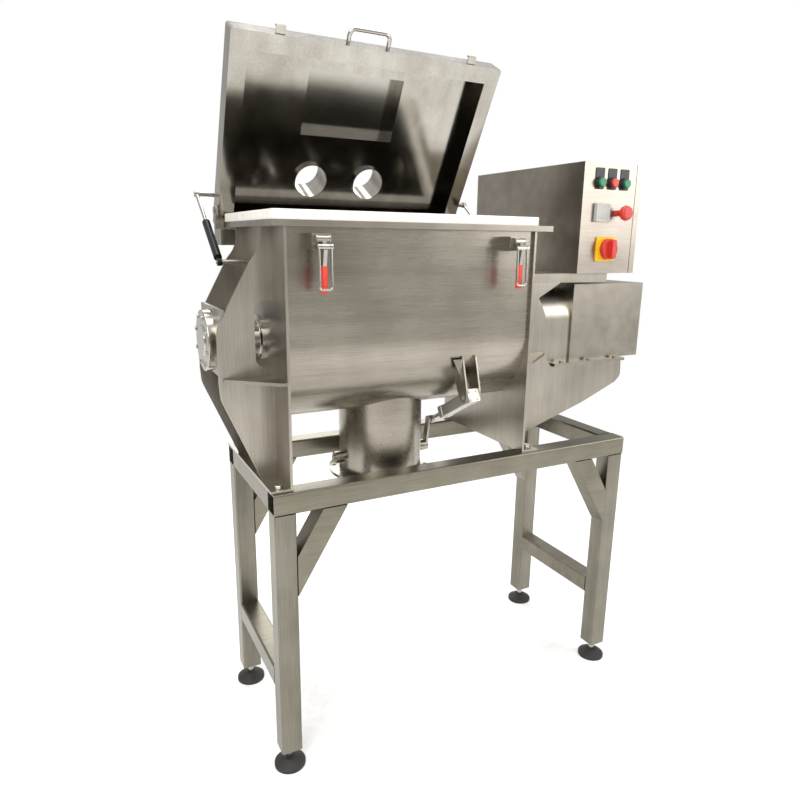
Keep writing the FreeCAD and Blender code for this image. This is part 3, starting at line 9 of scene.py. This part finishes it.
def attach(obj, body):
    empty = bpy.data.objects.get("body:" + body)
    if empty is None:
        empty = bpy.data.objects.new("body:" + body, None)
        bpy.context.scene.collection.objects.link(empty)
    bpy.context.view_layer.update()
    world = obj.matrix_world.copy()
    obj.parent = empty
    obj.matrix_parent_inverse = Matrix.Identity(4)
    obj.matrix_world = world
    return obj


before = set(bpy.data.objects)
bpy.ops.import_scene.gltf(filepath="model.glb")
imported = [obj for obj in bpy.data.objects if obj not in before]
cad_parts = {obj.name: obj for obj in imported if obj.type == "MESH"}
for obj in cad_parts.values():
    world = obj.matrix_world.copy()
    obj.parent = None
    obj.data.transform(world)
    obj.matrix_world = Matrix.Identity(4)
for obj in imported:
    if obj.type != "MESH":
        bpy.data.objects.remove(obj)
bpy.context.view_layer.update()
scene = bpy.context.scene
scene.view_settings.view_transform = "Standard"


# ---------------------------------------------------------------- colour and node helpers
def colour(hex_code):
    """Linear RGBA from an sRGB hex value."""
    channels = [int(hex_code[i:i + 2], 16) / 255 for i in (1, 3, 5)]
    linear = [c / 12.92 if c <= 0.04045 else ((c + 0.055) / 1.055) ** 2.4 for c in channels]
    return (*linear, 1.0)


def add(tree, kind, settings=None, **links):
    """Adds a node; settings holds attributes and socket values, links holds sockets to join by name."""
    node = tree.nodes.new(kind)
    for key, value in (settings or {}).items():
        if isinstance(key, str) and key not in node.inputs:
            setattr(node, key, value)
        else:
            node.inputs[key].default_value = value
    for name, output in links.items():
        tree.links.new(output, node.inputs[name.replace("_", " ")])
    return node


def new_material(name):
    material = bpy.data.materials.new(name)
    material.use_nodes = True
    tree = material.node_tree
    tree.nodes.clear()
    shader = tree.nodes.new("ShaderNodeBsdfPrincipled")
    output = tree.nodes.new("ShaderNodeOutputMaterial")
    tree.links.new(shader.outputs["BSDF"], output.inputs["Surface"])
    return material, tree, shader


def ramp(tree, factor, stops):
    node = tree.nodes.new("ShaderNodeValToRGB")
    tree.links.new(factor, node.inputs["Fac"])
    elements = node.color_ramp.elements
    while len(elements) < len(stops):
        elements.new(0.5)
    for element, (position, value) in zip(elements, stops):
        element.position = position
        element.color = colour(value)
    return node.outputs["Color"]


def spread(tree, value, low, high):
    """Maps a 0..1 value on to low..high."""
    node = add(tree, "ShaderNodeMapRange", {"To Min": low, "To Max": high})
    tree.links.new(value, node.inputs["Value"])
    return node.outputs["Result"]


def bumped(tree, shader, height, strength, distance):
    node = add(tree, "ShaderNodeBump", {"Strength": strength, "Distance": distance})
    tree.links.new(height, node.inputs["Height"])
    tree.links.new(node.outputs["Normal"], shader.inputs["Normal"])


# ---------------------------------------------------------------- finishes
GRAIN_MM = 0.8             # real lines are about 0.1 mm apart; drawn coarser so that they show
BAND_MM = 32.0             # broader streaks that a belt leaves
HAZE_MM = 140.0            # slow tone changes of rolled sheet
LINE_SHARE = 0.35          # how much each pattern counts in the tone
BAND_SHARE = 0.25
HAZE_SHARE = 0.4
LINE_STRETCH = 0.02        # pattern scale along the lines, against across them
ROUGHNESS_SPREAD = 0.07
LINE_DEPTH = 0.0004        # metres


def stainless(name, along, dark, light, roughness, bump=0.1):
    """Stainless ground with a belt: fine lines one way, broader streaks and a slow cloudy tone."""
    material, tree, shader = new_material(name)
    place = tree.nodes.new("ShaderNodeTexCoord").outputs["Object"]
    stretch = [LINE_STRETCH if axis == along else 1 for axis in "xyz"]
    lines_place = add(tree, "ShaderNodeMapping", {"Scale": stretch}, Vector=place)
    lines = add(tree, "ShaderNodeTexNoise", {"Scale": 1000 / GRAIN_MM / 2, "Detail": 3.0},
                Vector=lines_place.outputs["Vector"])
    bands = add(tree, "ShaderNodeTexNoise", {"Scale": 1000 / BAND_MM, "Detail": 2.0},
                Vector=lines_place.outputs["Vector"])
    haze = add(tree, "ShaderNodeTexNoise", {"Scale": 1000 / HAZE_MM, "Detail": 3.0}, Vector=place)
    tone = add(tree, "ShaderNodeMath", {"operation": "MULTIPLY_ADD", 1: LINE_SHARE})
    tree.links.new(lines.outputs["Fac"], tone.inputs[0])
    part = add(tree, "ShaderNodeMath", {"operation": "MULTIPLY", 1: BAND_SHARE})
    tree.links.new(bands.outputs["Fac"], part.inputs[0])
    tree.links.new(part.outputs[0], tone.inputs[2])
    whole = add(tree, "ShaderNodeMath", {"operation": "MULTIPLY_ADD", 1: HAZE_SHARE})
    tree.links.new(haze.outputs["Fac"], whole.inputs[0])
    tree.links.new(tone.outputs[0], whole.inputs[2])
    tree.links.new(ramp(tree, whole.outputs[0], [(0.36, dark), (0.64, light)]), shader.inputs["Base Color"])
    worn = spread(tree, whole.outputs[0], roughness - ROUGHNESS_SPREAD, roughness + ROUGHNESS_SPREAD)
    tree.links.new(worn, shader.inputs["Roughness"])
    shader.inputs["Metallic"].default_value = 1.0
    bumped(tree, shader, lines.outputs["Fac"], bump, LINE_DEPTH)
    return material


def plain(name, base, roughness, metallic=0.0, speck=6.0, depth=0.05, light=None, coat=0.0):
    """Moulded, painted or cast surface: a slight tone change and a grain; speck and depth are in millimetres."""
    material, tree, shader = new_material(name)
    place = tree.nodes.new("ShaderNodeTexCoord").outputs["Object"]
    grain = add(tree, "ShaderNodeTexNoise", {"Scale": 1000 / speck, "Detail": 4.0}, Vector=place)
    tone = ramp(tree, grain.outputs["Fac"], [(0.3, base), (0.7, light or base)])
    tree.links.new(tone, shader.inputs["Base Color"])
    tree.links.new(spread(tree, grain.outputs["Fac"], roughness - 0.05, roughness + 0.05), shader.inputs["Roughness"])
    shader.inputs["Metallic"].default_value = metallic
    shader.inputs["Coat Weight"].default_value = coat
    bumped(tree, shader, grain.outputs["Fac"], 0.3, depth / 1000)
    return material


# Belt-ground stainless tube and plate: fine straight lines, soft stretched highlights
TUBE_ALONG_X = stainless("belt_ground_tube_x", "x", "#6b675b", "#8d887b", 0.36)
TUBE_ALONG_Y = stainless("belt_ground_tube_y", "y", "#6b675b", "#8d887b", 0.36)
TUBE_ALONG_Z = stainless("belt_ground_tube_z", "z", "#6a675d", "#8b877b", 0.36)
PLATE_UPRIGHT = stainless("belt_ground_plate_upright", "z", "#918b81", "#b0aaa0", 0.33)
PLATE_LEVEL = stainless("belt_ground_plate_level", "x", "#8b857b", "#a8a298", 0.34)
PLATE_DEEP = stainless("belt_ground_plate_deep", "y", "#8b857b", "#a8a298", 0.34)
# Satin sheet of the trough: slightly smoother, lines run along the bend
TROUGH_SHEET = stainless("satin_rolled_sheet", "x", "#878176", "#a59f94", 0.27)
BOX_SHEET = stainless("satin_box_sheet", "x", "#8c847a", "#a79f95", 0.31)
# Turned and polished bar: near mirror, only a trace of tool lines
POLISHED_BAR = stainless("polished_bar", "x", "#a5a29b", "#bbb8b1", 0.16, 0.03)
# Mirror-polished sheet inside the lid: sharp, slightly wavy reflections
MIRROR_SHEET = stainless("mirror_polished_sheet", "z", "#8f8b83", "#b6b2aa", 0.14, 0.03)
# Silicone lip seal: off-white, soft and matt
SILICONE = plain("silicone_seal", "#d9d6cf", 0.5, speck=30, light="#e6e3dc")
# Moulded rubber feet: near black with a dry bloom
RUBBER = plain("moulded_rubber", "#1b1a19", 0.62, speck=1.5, depth=0.15, light="#2a2826")
# Black-nitrided spring barrel: even satin black
NITRIDED = plain("nitrided_steel", "#1c1c1e", 0.3, 0.6, speck=20, light="#2b2b2d")
# Clear-anodised extrusion: pale, dull metal
ANODISED = plain("anodised_aluminium", "#b9b6b0", 0.38, 0.9, speck=3, light="#c8c5bf")
# Sprayed enamel on the castings: grey-blue with a light orange peel
ENAMEL = plain("sprayed_enamel", "#59656b", 0.38, speck=1.2, depth=0.1, light="#64717a", coat=0.3)
# Moulded ABS and dipped vinyl: clean colours with soft highlights
RED_PLASTIC = plain("red_moulded_plastic", "#b8281f", 0.34, speck=10, light="#c4352a")
RED_VINYL = plain("red_dipped_vinyl", "#d23a28", 0.3, speck=8, light="#dc4a36", coat=0.2)
GREEN_PLASTIC = plain("green_moulded_plastic", "#156b42", 0.32, speck=10, light="#1c7a4d")
BLACK_PLASTIC = plain("black_moulded_plastic", "#191918", 0.42, speck=2, light="#242322")
YELLOW_PLASTIC = plain("yellow_moulded_plastic", "#dcab12", 0.4, speck=12, light="#e6b81f")
GREY_PLASTIC = plain("grey_moulded_plastic", "#a9a8a4", 0.45, speck=3, light="#b7b6b2")

finish = {
    TUBE_ALONG_Z: ["stand_legs"],
    TUBE_ALONG_X: ["stand_rails", "stand_braces"],
    PLATE_UPRIGHT: ["end_plate_left", "end_plate_right", "left_gussets", "right_gussets", "hinge_brackets",
                    "bearing_plate", "latch_mounts", "actuator_bracket", "valve_crank", "neck_guard"],
    PLATE_LEVEL: ["rim_flange", "corner_stiffeners", "drive_base_plate"],
    PLATE_DEEP: ["drive_cover", "control_shelf"],
    TROUGH_SHEET: ["trough_shell", "discharge_spout"],
    BOX_SHEET: ["enclosure_body", "enclosure_door"],
    POLISHED_BAR: ["bearing_housing", "bearing_cap", "shaft_bearing", "shaft_glands", "agitator_shaft",
                   "agitator_arms", "outer_ribbons", "inner_ribbons", "foot_stems", "valve_disc", "lid_handle",
                   "hatch_cover", "gas_spring_left_rod", "gas_spring_right_rod", "actuator_rod",
                   "latch_left_lever", "latch_right_lever", "latch_left_loop", "latch_right_loop"],
    MIRROR_SHEET: ["lid_shell"],
    SILICONE: ["rim_seal"],
    RUBBER: ["foot_pads"],
    NITRIDED: ["gas_spring_left_tube", "gas_spring_right_tube"],
    ANODISED: ["actuator_cylinder", "inverter"],
    ENAMEL: ["gear_reducer", "drive_motor"],
    RED_VINYL: ["latch_left_grip", "latch_right_grip"],
    RED_PLASTIC: ["stop_button", "emergency_stop_button", "switch_knob"],
    GREEN_PLASTIC: ["start_button", "jog_button"],
    BLACK_PLASTIC: ["button_bezels"],
    YELLOW_PLASTIC: ["switch_plate"],
    GREY_PLASTIC: ["timer"],
}
for material, nodes in finish.items():
    for node in nodes:
        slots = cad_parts[node].data.materials
        slots.clear()
        slots.append(material)

# ---------------------------------------------------------------- fasteners
FRAME_MIDDLE = (25.0, 65.75)             # where the frame's origin lies from the stand's middle, millimetres
FOOT_BOLT_X = (-491.0, 185.0)
FOOT_BOLT_Y = (-179.5, 179.5)
FOOT_TOP = 714.1
FOOT_BOLT_ACROSS = 0.017                 # across the flats of the head, metres
FOOT_BOLT_HEAD = 0.0075
WASHER = 0.0012


def row(x, y, z):
    """Stand-centred millimetres to the frame's metres."""
    return Vector(((x - FRAME_MIDDLE[0]) / 1000, (y - FRAME_MIDDLE[1]) / 1000, z / 1000))


def hex_bolts(name, body, places, axis, across, height, material):
    """Hex heads with a chamfered top on a washer, all pointing one way."""
    shape = bmesh.new()
    turn = Vector(axis).to_track_quat("Z", "X").to_matrix().to_4x4()
    for place in places:
        seat = Matrix.Translation(row(*place)) @ turn
        bmesh.ops.create_cone(shape, cap_ends=True, segments=28, radius1=across * 0.62, radius2=across * 0.62,
                              depth=WASHER, matrix=seat @ Matrix.Translation((0, 0, WASHER / 2)))
        head = bmesh.ops.create_cone(shape, cap_ends=True, segments=6, radius1=across * 0.577, radius2=across * 0.577,
                                     depth=height, matrix=seat @ Matrix.Translation((0, 0, WASHER + height / 2)))
        rim = [e for v in head["verts"] for e in v.link_edges]
        bmesh.ops.bevel(shape, geom=list(set(rim)), offset=across * 0.05, affect="EDGES", segments=2, profile=0.5,
                        material=-1)
    mesh = bpy.data.meshes.new(name)
    shape.to_mesh(mesh)
    shape.free()
    mesh.materials.append(material)
    piece = bpy.data.objects.new(name, mesh)
    scene.collection.objects.link(piece)
    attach(piece, body)
    return piece


hex_bolts("foot_bolts", "machine", [(x, y, FOOT_TOP) for x in FOOT_BOLT_X for y in FOOT_BOLT_Y], (0, 0, 1),
          FOOT_BOLT_ACROSS, FOOT_BOLT_HEAD, POLISHED_BAR)

# ---------------------------------------------------------------- stage, light and camera
# Place in metres, side in metres and power in watts
LAMPS = {"key": ((-2.6, -2.4, 3.2), 2.4, 130), "fill": ((2.8, -2.6, 2.2), 2.0, 55),
         "top": ((0.2, 0.2, 3.6), 2.2, 60), "rear": ((1.0, 3.0, 2.6), 2.0, 50)}
LAMP_TARGET = Vector((0, 0, 0.95))
FLOOR_HALF = 12.0
CAMERA_PLACE = (-0.9030, -1.54585, 1.2447)
CAMERA_YAW_PITCH_ROLL = (27.675, 13.857, 0.785)
CAMERA_LENS = 29.34
CAMERA_SENSOR = 36.0


def studio():
    """White floor and surround, seen as white by the camera and by reflections, with soft lamps."""
    material, tree, shader = new_material("matt_floor")
    grain = add(tree, "ShaderNodeTexNoise", {"Scale": 40.0, "Detail": 4.0},
                Vector=tree.nodes.new("ShaderNodeTexCoord").outputs["Object"])
    tree.links.new(ramp(tree, grain.outputs["Fac"], [(0.3, "#f4f4f4"), (0.7, "#ffffff")]), shader.inputs["Base Color"])
    shader.inputs["Roughness"].default_value = 0.9
    # The far floor fades to plain white for the camera, so that no horizon shows
    reach = add(tree, "ShaderNodeVectorMath", {"operation": "LENGTH"})
    tree.links.new(tree.nodes.new("ShaderNodeTexCoord").outputs["Object"], reach.inputs[0])
    fade = add(tree, "ShaderNodeMapRange", {"From Min": 0.9, "From Max": 2.6}, Value=reach.outputs["Value"])
    rays = tree.nodes.new("ShaderNodeLightPath")
    seen = add(tree, "ShaderNodeMath", {"operation": "MULTIPLY"})
    tree.links.new(fade.outputs["Result"], seen.inputs[0])
    tree.links.new(rays.outputs["Is Camera Ray"], seen.inputs[1])
    glow = add(tree, "ShaderNodeEmission", {"Color": colour("#ffffff"), "Strength": 1.0})
    blend = tree.nodes.new("ShaderNodeMixShader")
    tree.links.new(seen.outputs[0], blend.inputs[0])
    tree.links.new(shader.outputs[0], blend.inputs[1])
    tree.links.new(glow.outputs[0], blend.inputs[2])
    output = next(node for node in tree.nodes if node.type == "OUTPUT_MATERIAL")
    tree.links.new(blend.outputs[0], output.inputs["Surface"])
    mesh = bpy.data.meshes.new("floor")
    shape = bmesh.new()
    bmesh.ops.create_grid(shape, x_segments=1, y_segments=1, size=FLOOR_HALF)
    shape.to_mesh(mesh)
    shape.free()
    floor = bpy.data.objects.new("floor", mesh)
    scene.collection.objects.link(floor)
    mesh.materials.append(material)

    world = bpy.data.worlds.new("studio")
    scene.world = world
    world.use_nodes = True
    tree = world.node_tree
    tree.nodes.clear()
    background = tree.nodes.new("ShaderNodeBackground")
    output = tree.nodes.new("ShaderNodeOutputWorld")
    tree.links.new(background.outputs[0], output.inputs["Surface"])
    direction = tree.nodes.new("ShaderNodeTexCoord").outputs["Generated"]
    height = add(tree, "ShaderNodeSeparateXYZ", Vector=direction)
    rays = tree.nodes.new("ShaderNodeLightPath")
    sky = ramp(tree, height.outputs["Z"], [(0.0, "#a9a7a2"), (0.3, "#8c8a85"), (0.6, "#f0eeea")])
    mix = add(tree, "ShaderNodeMix", {"data_type": "RGBA"})
    shine = add(tree, "ShaderNodeMath", {"operation": "MULTIPLY", 1: 0.35})
    tree.links.new(rays.outputs["Is Glossy Ray"], shine.inputs[0])
    white = add(tree, "ShaderNodeMath", {"operation": "MAXIMUM"})
    tree.links.new(shine.outputs[0], white.inputs[0])
    tree.links.new(rays.outputs["Is Camera Ray"], white.inputs[1])
    clear = add(tree, "ShaderNodeMath", {"operation": "MAXIMUM"})
    tree.links.new(white.outputs[0], clear.inputs[0])
    tree.links.new(rays.outputs["Is Transmission Ray"], clear.inputs[1])
    tree.links.new(clear.outputs[0], mix.inputs[0])
    tree.links.new(sky, mix.inputs[6])
    mix.inputs[7].default_value = colour("#ffffff")
    tree.links.new(mix.outputs[2], background.inputs["Color"])
    background.inputs["Strength"].default_value = 1.0

    for name, (place, size, power) in LAMPS.items():
        lamp = bpy.data.lights.new(name, "AREA")
        lamp.size = size
        lamp.energy = power
        holder = bpy.data.objects.new(name, lamp)
        scene.collection.objects.link(holder)
        aim = LAMP_TARGET - Vector(place)
        holder.matrix_world = Matrix.Translation(place) @ aim.to_track_quat("-Z", "Y").to_matrix().to_4x4()


def place_camera():
    camera = bpy.data.cameras.new("camera")
    camera.sensor_width = CAMERA_SENSOR
    camera.lens = CAMERA_LENS
    holder = bpy.data.objects.new("camera", camera)
    scene.collection.objects.link(holder)
    yaw, pitch, roll = (math.radians(a) for a in CAMERA_YAW_PITCH_ROLL)
    turn = Matrix.Rotation(-yaw, 4, "Z") @ Matrix.Rotation(math.pi / 2 - pitch, 4, "X") @ Matrix.Rotation(roll, 4, "Z")
    holder.matrix_world = Matrix.Translation(CAMERA_PLACE) @ turn
    scene.camera = holder


studio()
place_camera()
